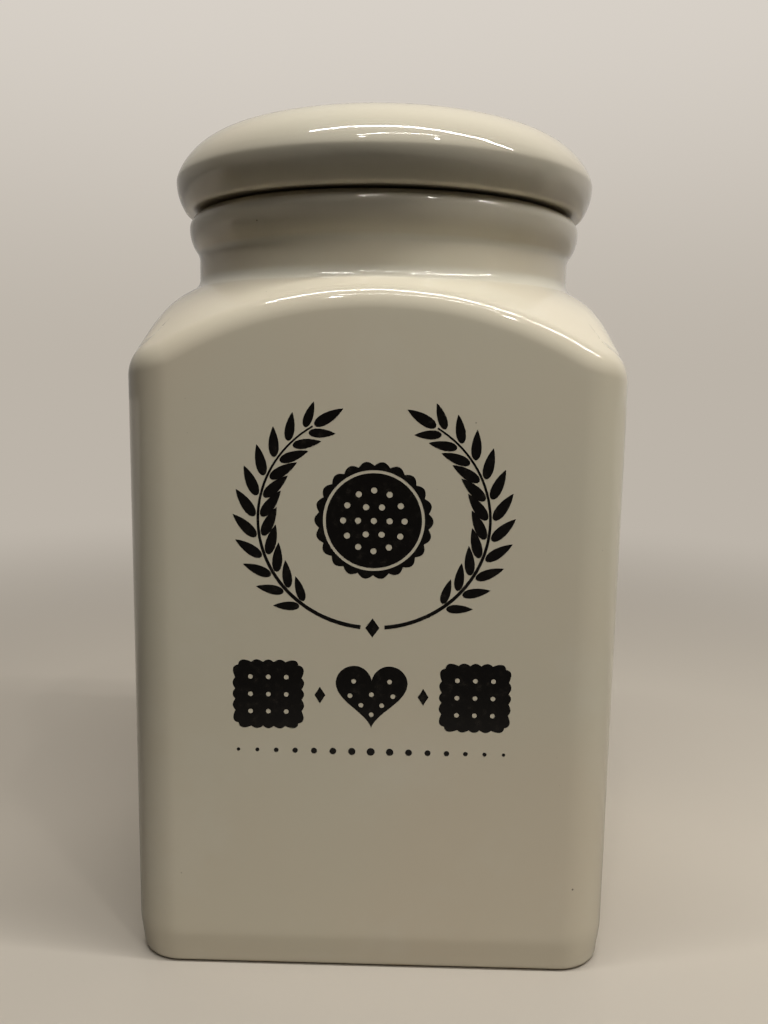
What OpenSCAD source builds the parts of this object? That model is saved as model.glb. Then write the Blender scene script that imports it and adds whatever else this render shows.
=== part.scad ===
// Square biscuit jar with a vaulted shoulder, a round neck, a lift-off lid and a seal ring.
// Millimetres, +Z up. The origin is the centre of the foot, on the surface the jar stands on.

/* [Body] */
// Width of the body across its flat faces
body_w = 128; // [118:1:150]
// Radius of the four upright corners
corner_r = 13; // [9:0.5:20]
// Thickness of the walls, shoulder and neck
wall_t = 5; // [4:0.25:6]
// Thickness of the floor inside the foot
floor_t = 6; // [4:0.5:9]
// Rounding round the bottom edge
foot_edge_r = 1.5; // [1:0.25:5]

/* [Foot] */
// Width of the dry ring that the jar stands on
foot_ring_w = 9; // [6:0.5:14]
// Depth of the hollow inside the foot ring
foot_hollow = 1.5; // [0.8:0.1:2.5]

/* [Shoulder] */
// Height at which the shoulder runs into the neck
shoulder_h = 182.5; // [160:0.5:220]
// Radius of the vaulted shoulder
vault_r = 122; // [116:0.5:135]
// Rounding between the shoulder and the front and back faces
vault_edge_r = 7.5; // [6.5:0.25:10]
// Rounding between the shoulder and the side faces, which is softer
vault_side_r = 12; // [6.5:0.25:12]
// Rounding of the shoulder over the upright corners
vault_corner_r = 12; // [8:0.5:16]

/* [Neck and rim] */
// Outer radius of the neck
neck_r = 55.3; // [50:0.1:58]
// Height of the neck and rim above the shoulder
neck_h = 20.8; // [19:0.1:30]
// Concave rounding at the foot of the neck
neck_foot_r = 4; // [2.5:0.25:5]
// Rounding inside the jar where the shoulder turns up into the neck
throat_r = 4; // [2:0.25:5]
// Outer radius of the rolled rim
rim_r = 58.1; // [57:0.1:60]
// Rounding of the rim above its widest line
rim_top_r = 4.2; // [3:0.1:5]
// Rounding of the rim below its widest line
rim_side_r = 11; // [6:0.25:13]
// Concave rounding under the rolled rim
rim_under_r = 4.5; // [3:0.25:7]
// Rounding inside the mouth
lip_r = 2; // [1:0.1:2.4]

/* [Lid] */
// Outer radius of the lid
lid_r = 61.7; // [60:0.1:68]
// Height of the crown above the widest line of the lid
crown_h = 15.3; // [13:0.1:24]
// Depth of the lid's edge below its widest line
edge_h = 8.6; // [7:0.1:9.5]
// Radius of the lid's edge below its widest line
edge_r = 14; // [11:0.25:16]
// Rounding where the lid's edge turns in to its flat underside
seat_edge_r = 2; // [1:0.1:3]
// Thickness of the lid's wall
lid_wall_t = 5.5; // [4.5:0.25:6]
// Flatness of the crown's top, an exponent: 2 is round, 8 is nearly flat
crown_flat = 6; // [3:0.25:8]
// Fullness of the crown's side, an exponent: 1 is a cone, 2 is round
crown_full = 1.4; // [1.3:0.05:2]

/* [Spigot] */
// Depth of the spigot below the lid's underside
spigot_h = 16; // [14:0.5:22]
// Gap all round between the spigot and the neck
spigot_gap = 2.9; // [2.4:0.1:4]
// Thickness of the spigot's wall
spigot_t = 7; // [6:0.25:8]
// Rounding of the spigot's lower edges
spigot_edge_r = 1.6; // [0.8:0.1:1.8]
// Rounding inside the lid where the spigot opens into the hollow crown
shelf_edge_r = 2; // [1:0.25:3]
// Distance from the lid's underside to the groove for the seal ring
groove_top = 3; // [2:0.25:4]
// Height of the groove for the seal ring
groove_h = 9; // [8:0.25:10]
// Depth of the groove for the seal ring
groove_d = 2.4; // [1.8:0.1:3]

/* [Seal ring] */
// Thickness of the seal ring's band
seal_t = 1.8; // [1.2:0.1:2.4]
// Number of fins on the seal ring
fin_count = 3; // [2:1:4]
// Thickness of a fin at its root
fin_root_t = 1.4; // [1:0.1:1.8]
// Thickness of a fin at its tip
fin_tip_t = 0.8; // [0.5:0.1:1]
// How far a fin droops from root to tip
fin_droop = 0.9; // [0:0.1:1.5]

/* [Fits] */
// Gap between the lid's underside and the rim, at rest
seat_gap = 0.3; // [0.2:0.05:0.6]
// Gap between the fin tips and the inside of the neck
fin_gap = 0.3; // [0.2:0.05:0.5]
// Running gap between the seal ring and the floor of its groove
ring_gap = 0.06; // [0.03:0.01:0.1]
// Gap above and below the seal ring in its groove
ring_end_gap = 0.3; // [0.2:0.05:0.5]

/* [Hidden] */

$fn = 96;
// Turn per step along the rounded parts of a turned outline, in degrees
arc_step = 6;
// Steps along the crown's outline
crown_steps = 30;
// A cut runs this far past the face that it opens
over = 1;
// Rounded edges stand this far proud of the vault, so that the two surfaces cross cleanly
lap = 0.04;
// Least rounding inside the casting
inner_r_min = 1.5;

earthenware = [0.87, 0.84, 0.75];
soft_white = [0.91, 0.91, 0.89];

half_w = body_w / 2;
vault_z = shoulder_h - sqrt(pow(vault_r, 2) - pow(neck_r, 2));
neck_bore_r = neck_r - wall_t;
rim_z = shoulder_h + neck_h;
rim_wide_z = rim_z - rim_top_r;

lid_seat_z = rim_z + seat_gap;
lid_mid_z = lid_seat_z + edge_h;
spigot_r = neck_bore_r - spigot_gap;
spigot_bore_r = spigot_r - spigot_t;
spigot_z = lid_seat_z - spigot_h;
groove_r = spigot_r - groove_d;
groove_top_z = lid_seat_z - groove_top;
groove_z = groove_top_z - groove_h;

seal_bore_r = groove_r + ring_gap;
seal_r = seal_bore_r + seal_t;
seal_z = groove_z + ring_end_gap;
seal_h = groove_h - 2 * ring_end_gap;
fin_r = neck_bore_r - fin_gap;
fin_pitch = seal_h / fin_count;

// Points along an arc about [x, y], from angle a to angle b.
function arc(x, y, r, a, b) =
    let (steps = max(1, ceil(abs(b - a) / arc_step)))
    [for (i = [0:steps]) let (t = a + (b - a) * i / steps) [x + r * cos(t), y + r * sin(t)]];

// Points along the crown's outline, from its widest line to its top, as a superellipse.
function crown(r, z, h) =
    [for (i = [0:crown_steps])
        let (t = 90 * i / crown_steps)
        [r * pow(cos(t), 2 / crown_flat), z + h * pow(sin(t), 2 / crown_full)]];

// A rectangle of width w and height h, standing on y = 0, with its lower right corner rounded.
module corner_rounded(w, h, r) {
    difference() {
        square([w, h]);
        translate([w - r, 0]) difference() {
            translate([0, -over]) square([r + over, r + over]);
            translate([0, r]) circle(r);
        }
    }
}

// A square block with rounded upright corners and a rounded bottom edge, from z0 up to z1.
module square_block(half, r, bottom_r, z0, z1) {
    reach = half - r;
    h = z1 - z0;
    translate([0, 0, z0]) {
        for (a = [0, 90]) rotate([90, 0, a]) linear_extrude(2 * reach, center = true) {
            corner_rounded(half, h, bottom_r);
            mirror([1, 0]) corner_rounded(half, h, bottom_r);
        }
        for (x = [-reach, reach], y = [-reach, reach])
            translate([x, y]) rotate_extrude() corner_rounded(r, h, bottom_r);
    }
}

// What is cut from a turned outline to round the edge where a flat end meets a vault of radius r.
// The flat end lies at height edge above the vault's centre, and e is the rounding.
module edge_cut(edge, r, e) {
    v = edge - e;
    u = sqrt(pow(r - e + lap, 2) - pow(v, 2));
    top = edge + over;
    difference() {
        polygon([[u, v], [u, top], [u * top / v, top]]);
        translate([u, v]) circle(e);
    }
}

// A drum that lies along Y, flat at both ends, with the edges rounded where they meet the vault.
module end_drum(edge, r, e, reach) {
    rotate([90, 0, 0]) rotate_extrude() difference() {
        translate([0, -edge]) square([reach, 2 * edge]);
        edge_cut(edge, r, e);
        mirror([0, 1]) edge_cut(edge, r, e);
    }
}

// An upright post that rounds the shoulder over the upright corners.
module corner_post(edge, r, e, down, reach) {
    rotate_extrude() difference() {
        translate([0, -down]) square([edge, down + reach]);
        mirror([1, -1]) edge_cut(edge, r, e);
    }
}

// The body's form without its neck: a square block under a spherical vault, with rounded edges.
module vaulted_block(half, r, vault, edge_e, side_e, corner_e, bottom_r, z0) {
    reach = vault + over;
    across = (half - r) * sqrt(2) + r;
    intersection() {
        square_block(half, r, bottom_r, z0, vault_z + reach);
        translate([0, 0, vault_z]) sphere(vault);
        translate([0, 0, vault_z]) end_drum(half, vault, edge_e, 2 * reach);
        translate([0, 0, vault_z]) rotate(90) end_drum(half, vault, side_e, 2 * reach);
        translate([0, 0, vault_z]) corner_post(across, vault, corner_e, vault_z, reach);
    }
}

// The neck with its concave foot, the hollow under the rim and the rolled rim, solid to the axis.
module neck_form() {
    foot_x = neck_r + neck_foot_r;
    foot_z = vault_z + sqrt(pow(vault_r + neck_foot_r - lap, 2) - pow(foot_x, 2));
    foot_a = atan2(vault_z - foot_z, -foot_x);
    side_x = rim_r - rim_side_r;
    under_x = neck_r + rim_under_r;
    under_z = rim_wide_z - sqrt(pow(rim_side_r + rim_under_r, 2) - pow(under_x - side_x, 2));
    under_a = atan2(rim_wide_z - under_z, side_x - under_x);
    rotate_extrude() polygon(concat(
        [[0, foot_z - 2 * neck_foot_r], [neck_r, foot_z - 2 * neck_foot_r]],
        arc(foot_x, foot_z, neck_foot_r, foot_a + 360, 180),
        arc(under_x, under_z, rim_under_r, 180, under_a),
        arc(side_x, rim_wide_z, rim_side_r, under_a - 180, 0),
        arc(rim_r - rim_top_r, rim_wide_z, rim_top_r, 0, 90),
        [[0, rim_z]]
    ));
}

// The space in the neck, rounded out at the lip and at the throat.
module neck_bore() {
    throat_x = neck_bore_r + throat_r;
    inner_r = vault_r - wall_t;
    throat_z = vault_z + sqrt(pow(inner_r + throat_r - lap, 2) - pow(throat_x, 2));
    throat_a = atan2(vault_z - throat_z, -throat_x);
    lip_x = neck_bore_r + lip_r;
    rotate_extrude() polygon(concat(
        [[0, throat_z - 2 * throat_r], [neck_bore_r, throat_z - 2 * throat_r]],
        arc(throat_x, throat_z, throat_r, throat_a + 360, 180),
        arc(lip_x, rim_z - lip_r, lip_r, 180, 90),
        [[lip_x, rim_z + over], [0, rim_z + over]]
    ));
}

module jar() {
    inner_half = half_w - wall_t;
    inner_corner_r = corner_r - wall_t;
    hollow_half = half_w - foot_ring_w;
    color(earthenware) difference() {
        union() {
            vaulted_block(half_w, corner_r, vault_r, vault_edge_r, vault_side_r, vault_corner_r,
                foot_edge_r, 0);
            neck_form();
        }
        vaulted_block(inner_half, inner_corner_r, vault_r - wall_t,
            max(vault_edge_r - wall_t, inner_r_min), max(vault_side_r - wall_t, inner_r_min),
            vault_corner_r - wall_t,
            max(inner_corner_r / 2, inner_r_min), floor_t);
        neck_bore();
        translate([0, 0, -over])
            square_block(hollow_half, max(corner_r - foot_ring_w, inner_r_min),
                foot_hollow / 2, 0, over + foot_hollow);
    }
}

module lid() {
    edge_x = lid_r - edge_r;
    turn_x = edge_x + sqrt(pow(edge_r - seat_edge_r, 2) - pow(edge_h - seat_edge_r, 2));
    turn_a = atan2(seat_edge_r - edge_h, turn_x - edge_x);
    shelf_z = lid_seat_z + lid_wall_t;
    inner_r = lid_r - lid_wall_t;
    inner_h = lid_mid_z - shelf_z;
    bottom_x = spigot_bore_r + spigot_edge_r;
    shelf_x = spigot_bore_r + shelf_edge_r;
    color(earthenware) difference() {
        rotate_extrude() polygon(concat(
            [[0, spigot_z], [spigot_r - spigot_edge_r, spigot_z]],
            arc(spigot_r - spigot_edge_r, spigot_z + spigot_edge_r, spigot_edge_r, -90, 0),
            [[spigot_r, groove_z], [groove_r, groove_z]],
            [[groove_r, groove_top_z], [spigot_r, groove_top_z], [spigot_r, lid_seat_z]],
            arc(turn_x, lid_seat_z + seat_edge_r, seat_edge_r, -90, turn_a),
            arc(edge_x, lid_mid_z, edge_r, turn_a, 0),
            crown(lid_r, lid_mid_z, crown_h)
        ));
        rotate_extrude() polygon(concat(
            [[0, spigot_z - over], [bottom_x, spigot_z - over]],
            arc(bottom_x, spigot_z + spigot_edge_r, spigot_edge_r, 270, 180),
            arc(shelf_x, shelf_z - shelf_edge_r, shelf_edge_r, 180, 90),
            arc(inner_r - inner_h, lid_mid_z, inner_h, -90, 0),
            crown(inner_r, lid_mid_z, crown_h - lid_wall_t)
        ));
    }
}

module seal_ring() {
    color(soft_white) rotate_extrude() {
        translate([seal_bore_r, seal_z]) square([seal_t, seal_h]);
        for (i = [0:fin_count - 1]) translate([seal_r, seal_z + fin_pitch * (i + 0.5)])
            polygon([
                [-seal_t / 2, -fin_root_t / 2],
                [fin_r - seal_r, -fin_droop - fin_tip_t / 2],
                [fin_r - seal_r, -fin_droop + fin_tip_t / 2],
                [-seal_t / 2, fin_root_t / 2]
            ]);
    }
}

jar();
lid();
seal_ring();
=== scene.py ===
"""A square glazed earthenware biscuit jar with a lift-off lid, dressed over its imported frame.

The jar, the lid and the seal ring are smooth shells that stand for the frame's solids. The front of
the jar carries a black kitchen print of wheat ears and biscuits, fired under the glaze.
"""
import logging
import math
from collections.abc import Callable, Sequence
from dataclasses import dataclass, field
from enum import Enum

import bmesh
import bpy
import numpy as np
from mathutils import Matrix, Vector


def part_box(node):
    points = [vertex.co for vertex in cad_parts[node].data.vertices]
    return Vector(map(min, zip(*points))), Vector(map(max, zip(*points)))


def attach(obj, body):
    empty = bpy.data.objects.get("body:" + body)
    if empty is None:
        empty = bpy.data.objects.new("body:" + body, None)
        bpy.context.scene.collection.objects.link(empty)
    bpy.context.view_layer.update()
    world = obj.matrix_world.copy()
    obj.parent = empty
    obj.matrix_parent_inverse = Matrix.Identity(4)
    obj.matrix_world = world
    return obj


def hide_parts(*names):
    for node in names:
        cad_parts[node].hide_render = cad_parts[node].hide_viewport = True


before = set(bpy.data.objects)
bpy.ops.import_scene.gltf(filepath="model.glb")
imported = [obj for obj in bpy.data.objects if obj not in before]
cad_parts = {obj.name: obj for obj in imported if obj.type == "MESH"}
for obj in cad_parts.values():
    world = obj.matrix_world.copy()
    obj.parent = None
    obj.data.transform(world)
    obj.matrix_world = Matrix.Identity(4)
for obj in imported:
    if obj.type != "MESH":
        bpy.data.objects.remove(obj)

LOG = logging.getLogger("biscuit_jar")
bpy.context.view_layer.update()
MM = 0.001
TAU = math.tau
GLAZE_IOR = 1.52
LAMP_WHITE = (1.0, 0.98, 0.94)

Colour = tuple[float, float, float]
Place = tuple[float, float, float]
Socket = bpy.types.NodeSocket
# A line drawn on the print, as its point at each share of the way along it.
Line = Callable[[float], Vector]


def linear(red: int, green: int, blue: int) -> Colour:
    """Turns an everyday 0 to 255 colour into the linear one that shaders take.

    Args:
        red: red, 0 to 255.
        green: green, 0 to 255.
        blue: blue, 0 to 255.

    Returns:
        The linear colour.
    """
    def channel(value: int) -> float:
        """One channel, out of its display curve."""
        part = value / 255
        return part / 12.92 if part <= 0.04045 else ((part + 0.055) / 1.055) ** 2.4

    return channel(red), channel(green), channel(blue)


def smooth(value: float) -> float:
    """Eases 0 to 1 in and out, and holds still outside that."""
    t = min(max(value, 0.0), 1.0)
    return t * t * (3 - 2 * t)


def spoke(share: float) -> Vector:
    """The direction at a share of the way round a circle, in the plane of a profile or the print."""
    return Vector((math.cos(TAU * share), math.sin(TAU * share)))


def arc(centre: tuple[float, float], radius: float, start: float, end: float, steps: int) -> list[Vector]:
    """Points along an arc in a profile's own plane.

    Args:
        centre: the arc's centre, as distance from the axis and height.
        radius: the arc's radius.
        start: first angle in degrees, 0 outward and 90 upward.
        end: last angle in degrees.
        steps: number of stretches.

    Returns:
        The points, as (distance from the axis, height).
    """
    turns = [math.radians(start + (end - start) * i / steps) for i in range(steps + 1)]
    return [Vector((centre[0] + radius * math.cos(a), centre[1] + radius * math.sin(a))) for a in turns]


def finish_mesh(name: str, work: bmesh.types.BMesh, material: bpy.types.Material,
                smooth_shaded: bool = True) -> bpy.types.Object:
    """Turns a bmesh into a piece of the scene.

    Args:
        name: the piece's name.
        work: the bmesh, which is freed.
        material: its finish.
        smooth_shaded: whether its faces blend into each other.

    Returns:
        The new object, at the origin.
    """
    bmesh.ops.recalc_face_normals(work, faces=work.faces)
    mesh = bpy.data.meshes.new(name)
    work.to_mesh(mesh)
    work.free()
    if smooth_shaded:
        mesh.shade_smooth()
    mesh.materials.append(material)
    piece = bpy.data.objects.new(name, mesh)
    bpy.context.scene.collection.objects.link(piece)
    return piece


def mark_curvature(piece: bpy.types.Object, full: float = 10 * MM, passes: int = 8) -> None:
    """Stores how convex the surface is at each point, for the glaze's tones: painted shade on convex edges
    and painted light in hollows, partly standing for the glaze's thickness.

    Args:
        piece: the object, which gets a point attribute named curve: above 0 is convex.
        full: the radius of a rounding whose value is 1.
        passes: how many times the values are evened out with their neighbours'.
    """
    mesh = piece.data
    count = len(mesh.vertices)
    points = np.empty(count * 3, np.float32)
    mesh.vertices.foreach_get("co", points)
    points = points.reshape(-1, 3).astype(float)
    normals = np.array([n.vector for n in mesh.vertex_normals], float)
    pairs = np.empty(len(mesh.edges) * 2, np.int32)
    mesh.edges.foreach_get("vertices", pairs)
    first, second = pairs.reshape(-1, 2).T
    along = points[second] - points[first]
    length = np.maximum(np.linalg.norm(along, axis=1), 1e-7)
    bend = ((normals[second] - normals[first]) * along).sum(1) / length**2
    total, weight = np.zeros(count), np.zeros(count)
    for ends in (first, second):
        np.add.at(total, ends, bend * length)
        np.add.at(weight, ends, length)
    value = np.clip(total / np.maximum(weight, 1e-9) * full, -1, 1)
    for _ in range(passes):
        total, weight = value.copy(), np.ones(count)
        for here, there in ((first, second), (second, first)):
            np.add.at(total, here, value[there])
            np.add.at(weight, here, 1)
        value = total / weight
    layer = mesh.attributes.new("curve", "FLOAT", "POINT")
    layer.data.foreach_set("value", value.astype(np.float32))


class Graph:
    """The node tree of a material or of the world, with one call per node.

    Attributes:
        owner: the material or the world.
        place: the coordinates that all its patterns follow.
    """

    def __init__(self, owner: bpy.types.ID, coordinates: str = "Object") -> None:
        """Empties the owner's tree and reads its coordinates.

        Args:
            owner: the material or the world.
            coordinates: which coordinates its patterns follow.
        """
        self.owner = owner
        owner.use_nodes = True
        self.tree = owner.node_tree
        self.tree.nodes.clear()
        self.place = self.add("ShaderNodeTexCoord").outputs[coordinates]

    def add(self, kind: str, values: dict | None = None, **settings: object) -> bpy.types.Node:
        """Adds a node.

        Args:
            kind: the node's type.
            values: what goes into its inputs, each a socket or a plain value.
            **settings: the node's own properties.

        Returns:
            The node.
        """
        node = self.tree.nodes.new(kind)
        for key, value in settings.items():
            setattr(node, key, value)
        for key, value in (values or {}).items():
            if isinstance(value, Socket):
                self.tree.links.new(value, node.inputs[key])
            else:
                node.inputs[key].default_value = value
        return node

    def math(self, operation: str, first: object, second: object = 0.0, clamp: bool = False) -> Socket:
        """Joins two values by a sum, product or other operation, and returns the result's socket."""
        values = {0: first, 1: second}
        return self.add("ShaderNodeMath", values, operation=operation, use_clamp=clamp).outputs[0]

    def parts(self, vector: Socket) -> bpy.types.bpy_prop_collection:
        """The sockets of a vector's X, Y and Z."""
        return self.add("ShaderNodeSeparateXYZ", {"Vector": vector}).outputs

    def noise(self, scale: float, detail: float = 3.0, roughness: float = 0.5,
              stretch: Place = (1.0, 1.0, 1.0), warp: float = 0.0) -> Socket:
        """Cloudy noise.

        Args:
            scale: clouds per metre.
            detail: how many finer layers it has.
            roughness: how strong those are.
            stretch: scale along each axis, below 1 for streaks.
            warp: how far the clouds are twisted.

        Returns:
            The socket of its value, from 0 to 1.
        """
        place = self.add("ShaderNodeMapping", {"Vector": self.place, "Scale": stretch}).outputs[0]
        values = {"Vector": place, "Scale": scale, "Detail": detail, "Roughness": roughness,
                  "Distortion": warp}
        return self.add("ShaderNodeTexNoise", values).outputs["Fac"]

    def span(self, value: object, low: float, high: float, to_low: object = 0.0, to_high: object = 1.0,
             ease: str = "SMOOTHSTEP") -> Socket:
        """Maps the range low to high onto another, and returns the result's socket."""
        values = {"Value": value, "From Min": low, "From Max": high, "To Min": to_low, "To Max": to_high}
        return self.add("ShaderNodeMapRange", values, interpolation_type=ease).outputs[0]

    def blend(self, share: object, first: object, second: object) -> Socket:
        """Mixes two colours.

        Args:
            share: how much of the second there is, from 0 to 1.
            first: a colour or a socket.
            second: a colour or a socket.

        Returns:
            The socket of the mixed colour.
        """
        ends = [colour if isinstance(colour, Socket) else (*colour, 1.0) for colour in (first, second)]
        values = {0: share, 6: ends[0], 7: ends[1]}
        return self.add("ShaderNodeMix", values, data_type="RGBA").outputs[2]

    def join(self, share: object, first: Socket, second: Socket) -> Socket:
        """Mixes two shaders, and returns the result's socket."""
        return self.add("ShaderNodeMixShader", {0: share, 1: first, 2: second}).outputs[0]

    def flecks(self, scale: float, size: float, share: float) -> Socket:
        """Small scattered dots of uneven size.

        Args:
            scale: cells per metre, each with one dot at most.
            size: radius of the largest dots, in metres.
            share: how many cells have a dot, from 0 to 1.

        Returns:
            The socket of a mask that is 1 inside a dot.
        """
        smallest, soft_edge = 0.35, 0.45
        cells = self.add("ShaderNodeTexVoronoi", {"Vector": self.place, "Scale": scale}, feature="F1")
        chance = self.add("ShaderNodeSeparateColor", {"Color": cells.outputs["Color"]}).outputs
        reach = self.math("MULTIPLY", self.span(chance[1], 0.0, 1.0, smallest, 1.0), size * scale)
        out = self.math("DIVIDE", cells.outputs["Distance"], reach)
        inside = self.math("SUBTRACT", 1.0, out, clamp=True)
        kept = self.math("LESS_THAN", chance[0], share)
        return self.math("MULTIPLY", self.span(inside, 0.0, soft_edge), kept)

    def bump(self, height: object, distance: float, under: Socket | None = None) -> Socket:
        """Raises a surface by a pattern.

        Args:
            height: the pattern's socket.
            distance: how high 1 stands, in metres.
            under: a normal that this one builds on.

        Returns:
            The normal's socket.
        """
        values = {"Height": height, "Distance": distance, "Strength": 1.0}
        if under is not None:
            values["Normal"] = under
        return self.add("ShaderNodeBump", values).outputs[0]

    def surface(self, values: dict) -> bpy.types.Material:
        """Ends the tree in a Principled shader with these inputs.

        Args:
            values: what goes into the shader's inputs.

        Returns:
            The material.
        """
        shader = self.add("ShaderNodeBsdfPrincipled", values)
        self.add("ShaderNodeOutputMaterial", {"Surface": shader.outputs[0]})
        return self.owner


@dataclass(frozen=True)
class CreamGlaze:
    """A glossy cream glaze over a pale clay body, bare where the piece stood in the kiln.

    Attributes:
        body: the glaze at its usual thickness.
        pooled_and_lit: the lighter tone where it lies thick at random, also laid on hollows as painted
            light.
        thin_and_shaded: the darker tone over convex edges, partly for glaze that runs thinner there and
            partly painted shade.
        blush: faint warm patches.
        fleck: iron specks.
        clay: the bare clay.
        gloss: roughness where it is clean and where it has been touched.
        ripple: height of the glaze's slow waves, in metres.
        peel: height of its fine orange peel, in metres.
        pit: depth of the pits over the specks, in metres.
        grain: height of the bare clay's grain, in metres.
        bare_below: height under which the clay is bare, in metres.
        wander: how far the glaze's lower edge strays from that height, in metres.
    """

    body: Colour = linear(222, 215, 195)
    pooled_and_lit: Colour = linear(228, 223, 207)
    thin_and_shaded: Colour = linear(217, 208, 188)
    blush: Colour = linear(223, 212, 191)
    fleck: Colour = linear(92, 72, 50)
    clay: Colour = linear(214, 198, 172)
    gloss: tuple[float, float] = (0.04, 0.08)
    ripple: float = 0.035 * MM
    peel: float = 0.0025 * MM
    pit: float = 0.05 * MM
    grain: float = 0.06 * MM
    bare_below: float = 0.0
    wander: float = 0.5 * MM

    def _glazed(self, graph: Graph, speck: Socket) -> Socket:
        """The colour of the glaze.

        Args:
            graph: the material's tree.
            speck: the mask of the iron specks.

        Returns:
            The colour's socket.
        """
        curve = graph.add("ShaderNodeAttribute", attribute_name="curve").outputs["Fac"]
        warm = graph.span(graph.noise(scale=11.0, detail=2.0), 0.35, 0.7)
        thick = graph.span(graph.noise(scale=27.0, detail=4.0, roughness=0.6), 0.5, 0.75, to_high=0.35)
        dust = graph.flecks(scale=210.0, size=0.16 * MM, share=0.35)
        tone = graph.blend(warm, self.body, self.blush)
        tone = graph.blend(thick, tone, self.pooled_and_lit)
        # Painted shade: convex edges such as the rim's roll turn darker, partly for glaze that runs thinner
        # over them.
        tone = graph.blend(graph.span(curve, 0.08, 0.7, to_high=0.75), tone, self.thin_and_shaded)
        # Painted light: hollows such as the neck's foot turn lighter, partly for glaze that lies thick in
        # them.
        tone = graph.blend(graph.span(curve, -0.08, -0.6, to_high=0.8), tone, self.pooled_and_lit)
        tone = graph.blend(graph.math("MULTIPLY", speck, 0.85), tone, self.fleck)
        return graph.blend(graph.math("MULTIPLY", dust, 0.45), tone, self.fleck)

    def _bare(self, graph: Graph) -> Socket:
        """Where the clay is bare, from 0 to 1.

        Args:
            graph: the material's tree.

        Returns:
            The mask's socket.
        """
        soft = 0.15 * MM
        clouds = graph.noise(scale=120.0, detail=3.0)
        wander = graph.span(clouds, 0.3, 0.7, -self.wander, self.wander)
        height = graph.math("SUBTRACT", graph.parts(graph.place)["Z"], wander)
        return graph.span(height, self.bare_below + soft, self.bare_below - soft)

    def build(self, name: str) -> bpy.types.Material:
        """Makes the material.

        Args:
            name: the material's name.

        Returns:
            The material.
        """
        graph = Graph(bpy.data.materials.new(name))
        speck = graph.flecks(scale=95.0, size=0.42 * MM, share=0.5)
        bare = self._bare(graph)
        grain = graph.noise(scale=900.0, detail=5.0, roughness=0.7)
        clay = graph.blend(graph.span(grain, 0.3, 0.7), self.clay, tuple(c * 0.8 for c in self.clay))
        tone = graph.blend(bare, self._glazed(graph, speck), clay)
        touched = graph.noise(scale=34.0, detail=5.0, roughness=0.65, warp=0.4)
        dull = graph.math("MULTIPLY", bare, 0.6)
        gloss = graph.math("ADD", graph.span(touched, 0.45, 0.72, *self.gloss), dull)
        normal = graph.bump(graph.noise(scale=30.0, detail=1.0, roughness=0.4), self.ripple)
        normal = graph.bump(graph.noise(scale=210.0, detail=2.0), self.peel, under=normal)
        normal = graph.bump(graph.math("MULTIPLY", speck, -1.0), self.pit, under=normal)
        normal = graph.bump(graph.math("MULTIPLY", grain, bare), self.grain, under=normal)
        return graph.surface({"Base Color": tone, "Roughness": gloss, "Normal": normal, "IOR": GLAZE_IOR})


@dataclass(frozen=True)
class PrintInk:
    """Black transfer ink under the clear glaze, a little uneven where the film wrinkled.

    Attributes:
        ink: the sound ink.
        worn: where it is thin.
        gloss: lowest and highest roughness.
        peel: height of the glaze's orange peel, in metres.
    """

    ink: Colour = linear(22, 20, 19)
    worn: Colour = linear(52, 48, 43)
    gloss: tuple[float, float] = (0.07, 0.15)
    peel: float = 0.003 * MM

    def build(self, name: str) -> bpy.types.Material:
        """Makes the material.

        Args:
            name: the material's name.

        Returns:
            The material.
        """
        graph = Graph(bpy.data.materials.new(name))
        patchy = graph.span(graph.noise(scale=420.0, detail=4.0, roughness=0.65), 0.5, 0.78, to_high=0.6)
        missed = graph.math("MULTIPLY", graph.flecks(scale=900.0, size=0.14 * MM, share=0.25), 0.5)
        tone = graph.blend(missed, graph.blend(patchy, self.ink, self.worn), self.worn)
        gloss = graph.span(graph.noise(scale=60.0, detail=4.0), 0.4, 0.75, *self.gloss)
        normal = graph.bump(graph.noise(scale=210.0, detail=2.0), self.peel)
        return graph.surface({"Base Color": tone, "Roughness": gloss, "Normal": normal, "IOR": GLAZE_IOR})


@dataclass(frozen=True)
class SoftSeal:
    """Milky, slightly yellowed sealing plastic with a satin skin.

    Attributes:
        milky: the fresh plastic.
        aged: where it has yellowed.
        gloss: lowest and highest roughness.
        scuff: height of the scuffs, in metres.
        glow: how much light goes in under its skin.
        glow_depth: how deep it goes, in metres.
        ior: its index of refraction.
    """

    milky: Colour = linear(231, 229, 221)
    aged: Colour = linear(221, 212, 188)
    gloss: tuple[float, float] = (0.34, 0.52)
    scuff: float = 0.015 * MM
    glow: float = 0.25
    glow_depth: float = 1.2 * MM
    ior: float = 1.43

    def build(self, name: str) -> bpy.types.Material:
        """Makes the material.

        Args:
            name: the material's name.

        Returns:
            The material.
        """
        graph = Graph(bpy.data.materials.new(name))
        yellowed = graph.span(graph.noise(scale=38.0, detail=4.0), 0.4, 0.7, to_high=0.8)
        gloss = graph.span(graph.noise(scale=140.0, detail=4.0), 0.35, 0.7, *self.gloss)
        scuffs = graph.noise(scale=650.0, detail=4.0, roughness=0.6, stretch=(1.0, 1.0, 0.25))
        return graph.surface({
            "Base Color": graph.blend(yellowed, self.milky, self.aged), "Roughness": gloss,
            "Normal": graph.bump(scuffs, self.scuff), "IOR": self.ior, "Subsurface Weight": self.glow,
            "Subsurface Radius": (0.9, 0.8, 0.6), "Subsurface Scale": self.glow_depth,
        })


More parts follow.
